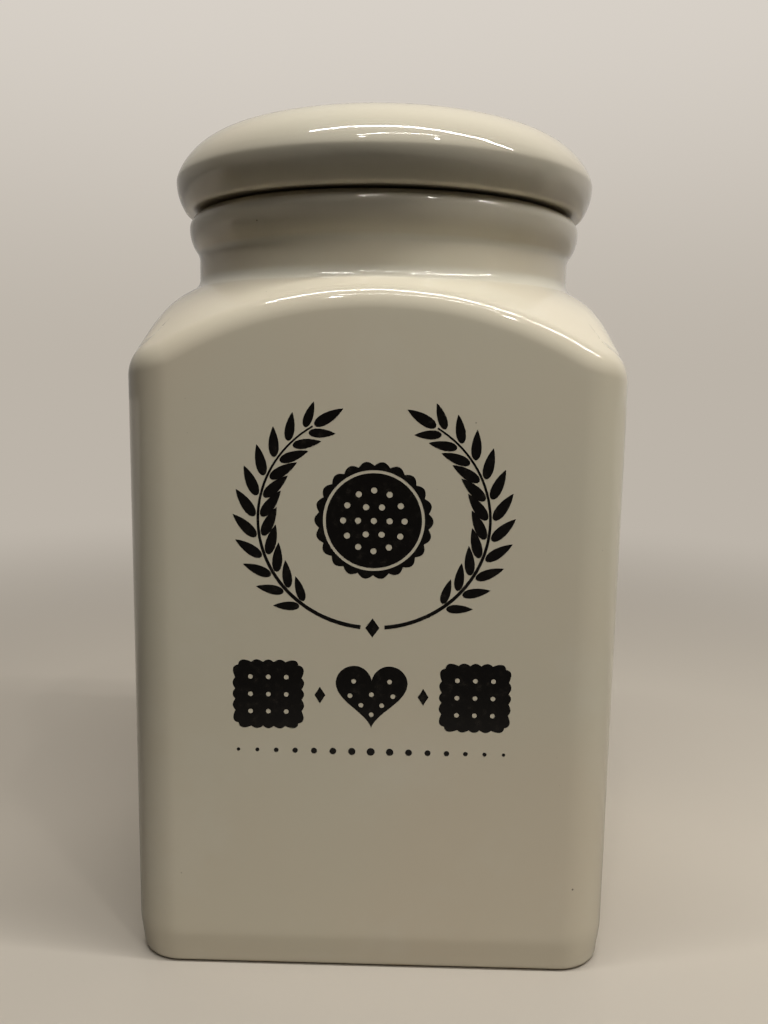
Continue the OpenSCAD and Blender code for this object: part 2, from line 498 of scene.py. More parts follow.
class RingLoft:
    """A skin pulled out of one ring of edges, level after level, and closed at both ends.

    Attributes:
        work: the bmesh that it is made in.
        ring: the newest ring's points, in order.
        foot: the first ring's edges.
    """

    def __init__(self, first: Sequence[Vector]) -> None:
        """Lays the first ring.

        Args:
            first: its points, one for each rib.
        """
        self.work = bmesh.new()
        made = bmesh.ops.create_circle(self.work, cap_ends=False, segments=len(first), radius=1.0)
        self.ring = sorted(made["verts"], key=lambda v: math.atan2(v.co.y, v.co.x))
        self._place(first)
        self.foot = self._edges()

    def _place(self, points: Sequence[Vector]) -> None:
        """Moves the newest ring onto its points."""
        for vert, point in zip(self.ring, points):
            vert.co = point

    def _edges(self) -> list[bmesh.types.BMEdge]:
        """The newest ring's edges."""
        following = self.ring[1:] + self.ring[:1]
        return [self.work.edges.get(pair) for pair in zip(self.ring, following)]

    def pull(self, points: Sequence[Vector]) -> None:
        """Extrudes the newest ring into the next.

        Args:
            points: the next ring's points.
        """
        made = bmesh.ops.extrude_edge_only(self.work, edges=self._edges())
        fresh = {item for item in made["geom"] if isinstance(item, bmesh.types.BMVert)}
        self.ring = [next(e.other_vert(vert) for e in vert.link_edges if e.other_vert(vert) in fresh)
                     for vert in self.ring]
        self._place(points)

    def close(self) -> bmesh.types.BMesh:
        """Closes both ends with a fan round a middle point.

        Returns:
            The bmesh.
        """
        for edges in (self.foot, self._edges()):
            made = bmesh.ops.contextual_create(self.work, geom=edges)
            bmesh.ops.poke(self.work, faces=made["faces"])
        return self.work


@dataclass(frozen=True)
class Rib:
    """One upright line of the jar's skin.

    Attributes:
        edge: where it stands on the square outline.
        out: the outline's outward direction there.
        turn: where it stands on the round neck, in radians.
        round_r: radius of the shoulder's rounding there.
        bay: share of the way the face gives inward there, 0 at its ends.
    """

    edge: Vector
    out: Vector
    turn: float
    round_r: float
    bay: float

    def inside(self, inset: float, height: float) -> Vector:
        """The point at an inset from the outline and a height."""
        flat = self.edge - self.out * inset
        return Vector((flat.x, flat.y, height))


@dataclass
class Jar:
    """The jar: a square body under a vaulted shoulder, with a round neck and a rolled rim.

    Attributes:
        half: half the width of the body.
        rim_z: height of the rim.
        face_steps: quads across a face.
        corner_steps: quads round an upright corner.
        give: how far the middle of a face lies inside its edges, as a casting shrinks.
        corner_r: radius of the upright corners.
        wall: thickness of the wall.
        floor_t: thickness of the floor.
        foot_edge_r: rounding of the foot's outer edge.
        foot_tuck: how far the walls tuck in at the foot.
        foot_tuck_h: height over which they do.
        foot_ring: width of the ring that the jar stands on.
        foot_hollow: height of the hollow inside that ring.
        vault_r: radius of the ball that the shoulder is a part of.
        face_edge_r: rounding between the vault and the front and back faces.
        flank_edge_r: rounding between the vault and the side faces, near their ends.
        flank_middle_r: that rounding at the middle of a side face.
        flank_blend: length along the outline over which the rounding grows.
        flank_bay: length over which it falls again towards the middle.
        neck_r: outer radius of the neck.
        neck_h: height of the neck with its rim.
        neck_foot_r: rounding between the neck and the vault.
        throat_r: rounding between the bore and the vault's inside.
        rim_r: outer radius of the rim.
        rim_top_r: rounding of the rim's top.
        rim_side_r: rounding of its side.
        rim_under_r: rounding of the hollow under it.
        lip_r: rounding of its inner edge.
        core: inset of the middle ring of the floor, as a share of half the width.
        glaze: the jar's finish.
        ribs: the upright lines of its skin.
    """

    half: float
    rim_z: float
    face_steps: int = 72
    corner_steps: int = 18
    give: float = 0.25 * MM
    corner_r: float = 13 * MM
    wall: float = 5 * MM
    floor_t: float = 6 * MM
    foot_edge_r: float = 1.5 * MM
    foot_tuck: float = 0.9 * MM
    foot_tuck_h: float = 10 * MM
    foot_ring: float = 9 * MM
    foot_hollow: float = 1.5 * MM
    vault_r: float = 122 * MM
    face_edge_r: float = 7.5 * MM
    flank_edge_r: float = 16 * MM
    flank_middle_r: float = 12 * MM
    flank_blend: float = 35 * MM
    flank_bay: float = 24 * MM
    neck_r: float = 55.3 * MM
    neck_h: float = 20.8 * MM
    neck_foot_r: float = 4 * MM
    throat_r: float = 4 * MM
    rim_r: float = 58.1 * MM
    rim_top_r: float = 4.2 * MM
    rim_side_r: float = 11 * MM
    rim_under_r: float = 4.5 * MM
    lip_r: float = 2 * MM
    core: float = 0.9
    glaze: CreamGlaze = CreamGlaze(bare_below=0.55 * MM)
    ribs: list[Rib] = field(init=False)

    def __post_init__(self) -> None:
        """Works out the height of the vault's centre, and the ribs."""
        shoulder_z = self.rim_z - self.neck_h
        self.vault_z = shoulder_z - math.sqrt(self.vault_r**2 - self.neck_r**2)
        self.ribs = self._make_ribs()

    def _make_ribs(self) -> list[Rib]:
        """Sets out the ribs, closer together towards the ends of a face.

        Returns:
            The ribs, from the front face's left end round by the right side.
        """
        reach = self.half - self.corner_r
        depth = self.half - self.face_edge_r
        span = math.atan(reach / depth)
        per_side = self.face_steps + self.corner_steps
        ribs = []
        for side in range(4):
            turned = Matrix.Rotation(side * TAU / 4, 2)
            for i in range(per_side):
                share = i / self.face_steps
                if share < 1:
                    across = math.tan(span * (2 * share - 1)) * depth
                    edge, out = Vector((across, -self.half)), Vector((0.0, -1.0))
                    bay = self._bay(across)
                    round_r = self.flank_round(reach - abs(across)) if side % 2 else self.face_edge_r
                else:
                    angle = (i - self.face_steps) / self.corner_steps * TAU / 4
                    out = Vector((math.sin(angle), -math.cos(angle)))
                    edge = Vector((reach, -reach)) + out * self.corner_r
                    bay = 0.0
                    past = -angle if side % 2 else angle - TAU / 4
                    round_r = self.flank_round(past * self.corner_r)
                turn = TAU * ((side * per_side + i - self.face_steps / 2) / (4 * per_side)) - TAU / 4
                ribs.append(Rib(turned @ edge, turned @ out, turn, round_r, bay))
        return ribs

    def _bay(self, across: float) -> float:
        """Share of the way a face gives inward, at a place across it."""
        return math.cos(across / (self.half - self.corner_r) * TAU / 4) ** 2

    def flank_round(self, past: float) -> float:
        """Radius of the shoulder's rounding over a side of the jar, where it is softer than in front.

        Args:
            past: distance along the outline past the end of the side's flat, below 0 on the corner.

        Returns:
            The radius.
        """
        corner = self.corner_r * TAU / 4
        rise = smooth((corner + past) / self.flank_blend)
        middle = smooth((past - self.half + self.corner_r + self.flank_bay) / self.flank_bay)
        spare = self.flank_edge_r - self.flank_middle_r
        return self.face_edge_r + (self.flank_edge_r - self.face_edge_r) * rise - spare * middle

    def foot_give(self, height: float) -> float:
        """How far the walls tuck in just over the foot, at a height."""
        return self.foot_tuck * (1 - smooth(height / self.foot_tuck_h))

    def face_give(self, bay: float, height: float) -> float:
        """How far a face lies inside its plane.

        Args:
            bay: share of the way the face gives inward at that place across it.
            height: the height.

        Returns:
            The distance inward.
        """
        top = self.vault_z + self.vault_r - self.face_edge_r - self.half / 4
        rise = min(max((height - self.foot_edge_r) / (top - self.foot_edge_r), 0.0), 1.0)
        return self.give * bay * math.sin(rise * TAU / 2) ** 2

    def face_y(self, across: float, height: float) -> float:
        """Where the front face lies, at a place across it and a height."""
        return self.face_give(self._bay(across), height) - self.half

    def _level(self, inset: float, height: float) -> list[Vector]:
        """A level ring at an inset from the outline."""
        return [rib.inside(inset, height) for rib in self.ribs]

    def _ball(self, rib: Rib) -> Vector:
        """Finds the ball that rounds the shoulder's edge at a rib.

        Args:
            rib: the rib.

        Returns:
            The ball's centre.
        """
        low = rib.inside(rib.round_r, self.vault_z)
        rise = math.sqrt((self.vault_r - rib.round_r) ** 2 - low.xy.length_squared)
        return low + Vector((0.0, 0.0, rise))

    def _wall_ring(self, depth: float, low: float, share: float) -> list[Vector]:
        """A ring on the upright walls.

        Args:
            depth: how far inside the outline it lies.
            low: height of the walls' lower end.
            share: how far up from there to the shoulder's rounding it lies, from 0 to 1.

        Returns:
            The ring's points.
        """
        points = []
        for rib in self.ribs:
            height = low + (self._ball(rib).z - low) * share
            give = self.face_give(rib.bay, height) if 0 < share < 1 else 0.0
            points.append(rib.inside(depth + give, height))
        return points

    def _round_ring(self, depth: float, share: float) -> list[Vector]:
        """A ring on the shoulder's rounding.

        Args:
            depth: how far under the outer skin it lies.
            share: where it lies, from the wall at 0 to the vault at 1.

        Returns:
            The ring's points.
        """
        points = []
        centre = Vector((0.0, 0.0, self.vault_z))
        for rib in self.ribs:
            ball = self._ball(rib)
            away = (ball - centre).normalized()
            points.append(ball + rib.out.to_3d().slerp(away, share) * (rib.round_r - depth))
        return points

    def _vault_ring(self, depth: float, share: float, end_slope: float) -> list[Vector]:
        """A ring on the vault.

        Args:
            depth: how far under the outer skin it lies.
            share: where it lies, from the shoulder's rounding at 0 to the neck's foot at 1.
            end_slope: the vault's slope at the neck's foot, in radians from the axis.

        Returns:
            The ring's points.
        """
        points = []
        centre = Vector((0.0, 0.0, self.vault_z))
        for rib in self.ribs:
            away = self._ball(rib) - centre
            slope = math.atan2(away.xy.length, away.z)
            start = math.atan2(away.y, away.x)
            drift = (rib.turn - start + TAU / 2) % TAU - TAU / 2
            angle = start + drift * smooth(share)
            slope += (end_slope - slope) * share
            flat = math.sin(slope)
            way = Vector((flat * math.cos(angle), flat * math.sin(angle), math.cos(slope)))
            points.append(centre + way * (self.vault_r - depth))
        return points

    def _round_level(self, point: Vector) -> list[Vector]:
        """A level round ring through a point of the neck's profile."""
        return [Vector((point.x * math.cos(rib.turn), point.x * math.sin(rib.turn), point.y))
                for rib in self.ribs]

    def _neck_profile(self) -> tuple[list[Vector], float, float]:
        """The neck and rim, from the outside of the vault to its inside.

        Returns:
            The profile, and the slopes at which it leaves the vault outside and meets it inside.
        """
        foot_x = self.neck_r + self.neck_foot_r
        foot_dz = math.sqrt((self.vault_r + self.neck_foot_r) ** 2 - foot_x**2)
        wide_z, side_x = self.rim_z - self.rim_top_r, self.rim_r - self.rim_side_r
        under_x = self.neck_r + self.rim_under_r
        under_z = wide_z - math.sqrt((self.rim_side_r + self.rim_under_r) ** 2 - (under_x - side_x) ** 2)
        under_a = math.degrees(math.atan2(wide_z - under_z, side_x - under_x))
        bore = self.neck_r - self.wall
        throat_x = bore + self.throat_r
        throat_dz = math.sqrt((self.vault_r - self.wall + self.throat_r) ** 2 - throat_x**2)
        outer_slope, inner_slope = math.atan2(foot_x, foot_dz), math.atan2(throat_x, throat_dz)
        foot_z, throat_z = self.vault_z + foot_dz, self.vault_z + throat_dz
        low, high = throat_z, self.rim_z - self.lip_r
        points = arc((foot_x, foot_z), self.neck_foot_r, 270 - math.degrees(outer_slope), 180, 10)
        points += [Vector((self.neck_r, foot_z + (under_z - foot_z) * s)) for s in (0.12, 0.5, 0.88)]
        points += arc((under_x, under_z), self.rim_under_r, 180, under_a, 7)
        points += arc((side_x, wide_z), self.rim_side_r, under_a - 180, 0, 12)[1:]
        points += arc((self.rim_r - self.rim_top_r, wide_z), self.rim_top_r, 0, 90, 16)[1:]
        points += [Vector((bore + self.lip_r + 0.25 * MM, self.rim_z))]
        points += arc((bore + self.lip_r, high), self.lip_r, 90, 180, 8)
        points += [Vector((bore, high + (low - high) * s)) for s in (0.04, 0.3, 0.6, 0.96)]
        points += arc((throat_x, throat_z), self.throat_r, 180, 270 - math.degrees(inner_slope), 8)
        return points, outer_slope, inner_slope

    def _foot_rings(self) -> list[list[Vector]]:
        """The rings from the hollow under the base, out over the foot and up past the tuck.

        Returns:
            The rings, in order.
        """
        edge = self.foot_ring
        hollow = ((self.corner_r - MM, 1.0), (edge + 0.8 * MM, 1.0), (edge + 0.35 * MM, 0.85),
                  (edge, 0.45), (edge - 0.3 * MM, 0.1), (edge - 0.7 * MM, 0.0))
        rings = [self._level(inset, self.foot_hollow * share) for inset, share in hollow]
        rings.append(self._level(self.foot_tuck + self.foot_edge_r + 0.4 * MM, 0.0))
        for point in arc((-self.foot_edge_r, self.foot_edge_r), self.foot_edge_r, -90, 0, 8):
            rings.append(self._level(self.foot_give(point.y) - point.x, point.y))
        for i in range(1, 11):
            height = self.foot_edge_r + self.foot_tuck_h * i / 10
            rings.append(self._level(self.foot_give(height), height))
        return rings

    def _outer_rings(self, end_slope: float) -> list[list[Vector]]:
        """The rings up the walls, over the shoulder's rounding and up the vault.

        Args:
            end_slope: the vault's slope at the neck's foot.

        Returns:
            The rings, in order.
        """
        low = self.foot_edge_r + self.foot_tuck_h
        shares = (0.05, 0.12, 0.2, 0.3, 0.4, 0.5, 0.6, 0.7, 0.8, 0.88, 0.95, 0.995, 1.0)
        rings = [self._wall_ring(0.0, low, share) for share in shares]
        rings += [self._round_ring(0.0, i / 18) for i in range(1, 19)]
        return rings + [self._vault_ring(0.0, i / 14, end_slope) for i in range(1, 14)]

    def _inner_rings(self, end_slope: float) -> list[list[Vector]]:
        """The rings from the throat down the inside of the vault and walls, and in over the floor.

        Args:
            end_slope: the vault's slope at the throat.

        Returns:
            The rings, in order.
        """
        rings = [self._vault_ring(self.wall, i / 10, end_slope) for i in range(9, 0, -1)]
        rings += [self._round_ring(self.wall, i / 8) for i in range(8, -1, -1)]
        floor_r = (self.corner_r - self.wall) / 2
        shares = (0.98, 0.85, 0.7, 0.5, 0.3, 0.15, 0.02)
        rings += [self._wall_ring(self.wall, self.floor_t + floor_r, share) for share in shares]
        for point in arc((-floor_r, floor_r), floor_r, 0, -90, 6):
            rings.append(self._level(self.wall - point.x, self.floor_t + point.y))
        insets = (self.corner_r - MM / 2, self.half * self.core)
        return rings + [self._level(inset, self.floor_t) for inset in insets]

    def build(self) -> bpy.types.Object:
        """Makes the jar and dresses it.

        Returns:
            The piece, which stands for the jar's solid.
        """
        profile, outer_slope, inner_slope = self._neck_profile()
        rings = self._foot_rings() + self._outer_rings(outer_slope)
        rings += [self._round_level(point) for point in profile]
        rings += self._inner_rings(inner_slope)
        loft = RingLoft(self._level(self.half * self.core, self.foot_hollow))
        for ring in rings:
            loft.pull(ring)
        piece = finish_mesh("jar_shell", loft.close(), self.glaze.build("cream_glaze"))
        mark_curvature(piece)
        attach(piece, "jar")
        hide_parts("jar")
        return piece


class Cutter(Enum):
    """The shapes that a printed biscuit is cut to."""

    ROUND = "round"
    SQUARE = "square"
    HEART = "heart"


@dataclass(frozen=True)
class Biscuit:
    """A printed biscuit with a scalloped edge and pricked holes.

    Attributes:
        cutter: its shape.
        middle: where its middle lies on the face, as (across, height).
        size: half its width.
        scallops: number of lobes round its edge.
        lobe: how deep the lobes are cut, as a share of its size.
        squareness: how hard a square one's corners are, from 2 for a circle up.
        prick: radius of a hole.
    """

    cutter: Cutter
    middle: Vector
    size: float
    scallops: int = 20
    lobe: float = 0.07
    squareness: float = 7.0
    prick: float = 0.62 * MM

    def edge(self, share: float) -> Vector:
        """The point of its edge at a share of the way round.

        Args:
            share: the share, from 0 to 1.

        Returns:
            The point, as (across, height).
        """
        turn = TAU * share
        if self.cutter is Cutter.HEART:
            waves = zip((13, -5, -2, -1), (1, 2, 3, 4))
            rise = sum(height * math.cos(number * turn) for height, number in waves) / 16
            return self.middle + Vector((math.sin(turn) ** 3, rise + 0.12)) * self.size
        reach = self.size * (1 - self.lobe * (1 - abs(math.cos(self.scallops / 2 * turn))))
        way = spoke(share)
        if self.cutter is Cutter.SQUARE:
            hard = self.squareness
            reach /= (abs(way.x) ** hard + abs(way.y) ** hard) ** (1 / hard)
        return self.middle + way * reach

    def pricks(self) -> list[Vector]:
        """Sets out its holes.

        Returns:
            Their middles, as (across, height).
        """
        if self.cutter is Cutter.SQUARE:
            pitch = self.size * 0.5
            return [self.middle + Vector((i, j)) * pitch for i in (-1, 0, 1) for j in (-1, 0, 1)]
        if self.cutter is Cutter.HEART:
            halves = ((0.0, 0.04), (0.0, -0.54), (0.5, 0.42), (0.6, 0.0), (0.29, -0.27))
            return [self.middle + Vector((side * across, rise)) * self.size
                    for across, rise in halves for side in ((-1, 1) if across else (1,))]
        rings = ((1, 0.0), (6, 0.33), (12, 0.64))
        return [self.middle + spoke(i / count) * self.size * reach
                for count, reach in rings for i in range(count)]


def ringed(middle: Vector, radius: float) -> Line:
    """The edge of a circle on the face."""
    return lambda share: middle + spoke(share) * radius


def lozenge(middle: Vector, half: float, tall: float) -> Line:
    """The edge of a lozenge on the face.

    Args:
        middle: its middle.
        half: half its width.
        tall: how many times as tall as wide it is.

    Returns:
        The line of its edge.
    """
    def edge(share: float) -> Vector:
        """A point of the lozenge's edge."""
        way = spoke(share)
        return middle + Vector((way.x, tall * way.y)) * half / (abs(way.x) + abs(way.y))

    return edge


class PrintFilm:
    """A film of ink, drawn flat and then laid on the jar's front face.

    Attributes:
        jar: the jar that it lies on.
        lift: how far the ink stands proud of the face.
        sunk: how far its back lies inside the face.
        hole_steps: number of points round a hole.
        grid: longest stretch of a face of the film, so that it can follow the jar's.
        grid_shift: how far the grid is shifted, as a share of that, so that it misses the drawn points.
        work: the bmesh that it is drawn in.
    """

    lift: float = 0.02 * MM
    sunk: float = 0.02 * MM
    hole_steps: int = 14
    grid: float = 4 * MM
    grid_shift: float = 0.37

    def __init__(self, jar: Jar) -> None:
        """Starts an empty film on a jar."""
        self.jar = jar
        self.work = bmesh.new()

    def _loop(self, edge: Line, steps: int) -> list[bmesh.types.BMEdge]:
        """Draws a closed line.

        Args:
            edge: the line.
            steps: number of points on it.

        Returns:
            Its edges.
        """
        made = bmesh.ops.create_circle(self.work, cap_ends=False, segments=steps, radius=1.0)
        verts = sorted(made["verts"], key=lambda v: math.atan2(v.co.y, v.co.x))
        for number, vert in enumerate(verts):
            point = edge(number / steps)
            vert.co = (point.x, 0.0, point.y)
        return [edge for vert in verts for edge in vert.link_edges if edge.verts[0] is vert]

    def shape(self, edge: Line, steps: int, holes: Sequence[Vector] = (), hole_r: float = 0.0,
              inner: Line | None = None) -> None:
        """Fills a closed shape.

        Args:
            edge: its outline.
            steps: number of points on it.
            holes: the middles of round holes in it.
            hole_r: their radius.
            inner: a second outline, inside which the shape is left open.
        """
        rims = self._loop(edge, steps)
        for middle in holes:
            rims += self._loop(ringed(middle, hole_r), self.hole_steps)
        if inner is not None:
            rims += self._loop(inner, steps)
        bmesh.ops.triangle_fill(self.work, use_beauty=True, use_dissolve=False, edges=rims,
                                normal=(0, -1, 0))

    def ribbon(self, path: Line, width: Callable[[float], float], steps: int) -> None:
        """Draws a line of changing width.

        Args:
            path: the line.
            width: its width at each share of the way along.
            steps: number of stretches.
        """
        near = 0.001  # the stretch over which the line's direction is taken
        made = bmesh.ops.create_grid(self.work, x_segments=steps, y_segments=1, size=1.0)
        for vert in made["verts"]:
            share, side = (vert.co.x + 1) / 2, vert.co.y
            along = (path(share + near) - path(share - near)).normalized()
            point = path(share) + Vector((-along.y, along.x)) * side * width(share) / 2
            vert.co = (point.x, 0.0, point.y)

    def _cut(self) -> None:
        """Cuts the film along a grid."""
        for axis in (0, 2):
            normal = Vector((0.0, 0.0, 0.0))
            normal[axis] = 1.0
            reach = [vert.co[axis] for vert in self.work.verts]
            for line in range(math.ceil(min(reach) / self.grid), math.ceil(max(reach) / self.grid)):
                geom = self.work.verts[:] + self.work.edges[:] + self.work.faces[:]
                place = normal * self.grid * (line + self.grid_shift)
                bmesh.ops.bisect_plane(self.work, geom=geom, dist=1e-7, plane_co=place, plane_no=normal)

    def lay(self, name: str, ink: bpy.types.Material) -> bpy.types.Object:
        """Gives the film its thickness and lays it on the face.

        Args:
            name: the piece's name.
            ink: its finish.

        Returns:
            The piece.
        """
        self._cut()
        made = bmesh.ops.extrude_face_region(self.work, geom=self.work.faces[:])
        front = {item for item in made["geom"] if isinstance(item, bmesh.types.BMVert)}
        for vert in self.work.verts:
            face = self.jar.face_y(vert.co.x, vert.co.z)
            vert.co.y = face - self.lift if vert in front else face + self.sunk
        piece = finish_mesh(name, self.work, ink, smooth_shaded=False)
        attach(piece, "jar")
        return piece


@dataclass
class KitchenPrint:
    """The black print: a wreath of wheat round a biscuit, a row of biscuits and a line of dots.

    Attributes:
        jar: the jar that it is printed on.
        middle: height of the wreath's middle.
        reach: half the width and half the height of the wreath's stems.
        stem: angles round the wreath of a stem's foot, its lowest grains and its tip, in degrees.
        stem_w: width of a stem at its middle.
        pairs: pairs of grains on each ear.
        grain: length and width of the largest grains.
        spread: angle between a grain and the stem, in degrees.
        disc_r: radius of the biscuit in the wreath, inside its scalloped edge.
        disc_edge: inner and outer radius of that edge, as shares of the biscuit's.
        disc_scallops: number of its lobes.
        disc_prick: radius of that biscuit's holes.
        row_z: height of the row of biscuits.
        row_pitch: distance between the middles of two biscuits in the row.
        row_size: half the width of such a biscuit.
        dots_z: height of the line of dots.
        dots: number of dots.
        dot_pitch: distance between two dots.
        dot_r: radius of the outermost and of the middle dot.
    """

    jar: Jar
    middle: float = 121.5 * MM
    reach: tuple[float, float] = (29 * MM, 27.5 * MM)
    stem: tuple[float, float, float] = (-84.0, -52.0, 58.0)
    stem_w: float = 0.85 * MM
    pairs: int = 11
    grain: tuple[float, float] = (8.2 * MM, 2.8 * MM)
    spread: float = 36.0
    disc_r: float = 12 * MM
    disc_edge: tuple[float, float] = (1.06, 1.24)
    disc_scallops: int = 22
    disc_prick: float = 0.78 * MM
    row_z: float = 76 * MM
    row_pitch: float = 26.5 * MM
    row_size: float = 9.2 * MM
    dots_z: float = 61 * MM
    dots: int = 15
    dot_pitch: float = 4.9 * MM
    dot_r: tuple[float, float] = (0.45 * MM, 1.05 * MM)

    def _stem(self, side: int, degrees: float) -> Vector:
        """A point of a stem.

        Args:
            side: -1 for the left stem and 1 for the right one.
            degrees: its angle round the wreath, 0 to the side and 90 at the top.

        Returns:
            The point, as (across, height).
        """
        angle = math.radians(degrees)
        across, rise = self.reach[0] * math.cos(angle), self.reach[1] * math.sin(angle)
        return Vector((side * across, self.middle + rise))

    def _along(self, side: int, degrees: float) -> Vector:
        """A stem's direction at an angle, towards its tip."""
        return (self._stem(side, degrees + 0.5) - self._stem(side, degrees - 0.5)).normalized()

    def _grain(self, film: PrintFilm, foot: Vector, way: Vector, size: float = 1.0) -> None:
        """Draws a grain that is round at its foot and pointed at its tip.

        Args:
            film: the film that it is drawn on.
            foot: where it leaves the stem.
            way: the direction in which it points.
            size: its size, as a share of the largest.
        """
        length, width = self.grain[0] * size, self.grain[1] * size
        across = Vector((-way.y, way.x))

        def edge(share: float) -> Vector:
            """The grain's edge.

            Args:
                share: share of the way round, from its tip.

            Returns:
                The point, as (across, height).
            """
            turn = TAU * share
            bulge = math.sin(turn) * abs(math.sin(turn / 2)) ** 0.8
            return foot + way * length * (1 + math.cos(turn)) / 2 + across * width * 0.62 * bulge

        film.shape(edge, 18)

    def _ear(self, film: PrintFilm, side: int) -> None:
        """Draws one ear of wheat.

        Args:
            film: the film that it is drawn on.
            side: -1 for the left ear and 1 for the right one.
        """
        foot, first, last = self.stem
        film.ribbon(lambda share: self._stem(side, foot + (last - foot) * share),
                    lambda share: self.stem_w * (1.25 - 0.7 * share), 44)
        top_pair = last - 4.0  # the last pair of grains, just under the one at the tip
        for number in range(self.pairs):
            share = number / (self.pairs - 1)
            angle = first + (top_pair - first) * share
            along = self._along(side, angle)
            for lean in (-1, 1):
                way = Matrix.Rotation(math.radians(self.spread * lean), 2) @ along
                outward = Vector((-along.y, along.x)) * lean
                place = self._stem(side, angle) + outward * self.stem_w * 0.75 + way * 0.3 * MM
                self._grain(film, place, way, 0.82 + 0.18 * math.sin(share * TAU / 2))
        along = self._along(side, last)
        self._grain(film, self._stem(side, last) + along * 0.5 * MM, along)

    def wreath(self, ink: bpy.types.Material) -> bpy.types.Object:
        """The two ears of wheat and the biscuit that they frame.

        Args:
            ink: the print's finish.

        Returns:
            The piece.
        """
        film = PrintFilm(self.jar)
        for side in (-1, 1):
            self._ear(film, side)
        film.shape(lozenge(Vector((0.0, self.middle - self.reach[1])), 1.8 * MM, 1.4), 24)
        middle = Vector((0.0, self.middle))
        inner, outer = (self.disc_r * share for share in self.disc_edge)
        rim = Biscuit(Cutter.ROUND, middle, outer, self.disc_scallops)
        film.shape(rim.edge, self.disc_scallops * 8, inner=ringed(middle, inner))
        disc = Biscuit(Cutter.ROUND, middle, self.disc_r, prick=self.disc_prick)
        film.shape(ringed(middle, self.disc_r), 96, holes=disc.pricks(), hole_r=disc.prick)
        return film.lay("print_wreath", ink)

    def biscuits(self, ink: bpy.types.Material) -> bpy.types.Object:
        """The row of three biscuits, with a lozenge in each gap.

        Args:
            ink: the print's finish.

        Returns:
            The piece.
        """
        film = PrintFilm(self.jar)
        for place, cutter in zip((-1, 0, 1), (Cutter.SQUARE, Cutter.HEART, Cutter.SQUARE)):
            biscuit = Biscuit(cutter, Vector((place * self.row_pitch, self.row_z)), self.row_size)
            film.shape(biscuit.edge, 160, holes=biscuit.pricks(), hole_r=biscuit.prick)
        for place in (-0.5, 0.5):
            film.shape(lozenge(Vector((place * self.row_pitch, self.row_z)), 1.4 * MM, 1.6), 24)
        return film.lay("print_biscuits", ink)

    def dot_line(self, ink: bpy.types.Material) -> bpy.types.Object:
        """The line of dots, largest in the middle.

        Args:
            ink: the print's finish.

        Returns:
            The piece.
        """
        film = PrintFilm(self.jar)
        half = (self.dots - 1) / 2
        least, most = self.dot_r
        for number in range(self.dots):
            place = number - half
            radius = most - (most - least) * abs(place) / half
            film.shape(ringed(Vector((place * self.dot_pitch, self.dots_z)), radius), 24)
        return film.lay("print_dots", ink)

    def build(self, finish: PrintInk) -> list[bpy.types.Object]:
        """Makes the whole print in an ink, and returns its pieces."""
        ink = finish.build("black_print")
        return [self.wreath(ink), self.biscuits(ink), self.dot_line(ink)]


def turned(name: str, profile: Sequence[Vector], steps: int, material: bpy.types.Material,
           eased: tuple[float, float] = (0.0, 0.0)) -> bpy.types.Object:
    """Spins a closed outline round the upright axis into a piece.

    Args:
        name: the piece's name.
        profile: its outline, as (distance from the axis, height). One that starts and ends on the
            axis gets poles there, and one that lies clear of it is closed into a ring.
        steps: quads round.
        material: its finish.
        eased: the lowest and highest height of a stretch whose curve is evened out.

    Returns:
        The piece.
    """
    work = bmesh.new()
    verts = [work.verts.new((point.x, 0.0, point.y)) for point in profile]
    soft = [vert for vert in verts if eased[0] < vert.co.z < eased[1]]
    pairs = list(zip(verts, verts[1:]))
    if profile[0].x > MM / 10:
        pairs.append((verts[-1], verts[0]))
    edges = [work.edges.new(pair) for pair in pairs]
    for _ in range(6):
        bmesh.ops.smooth_vert(work, verts=soft, factor=0.5, use_axis_x=True, use_axis_z=True)
    bmesh.ops.spin(work, geom=verts + edges, cent=(0, 0, 0), axis=(0, 0, 1), dvec=(0, 0, 0),
                   angle=TAU, steps=steps, use_merge=True, use_duplicate=False)
    bmesh.ops.remove_doubles(work, verts=work.verts, dist=1e-6)
    return finish_mesh(name, work, material)


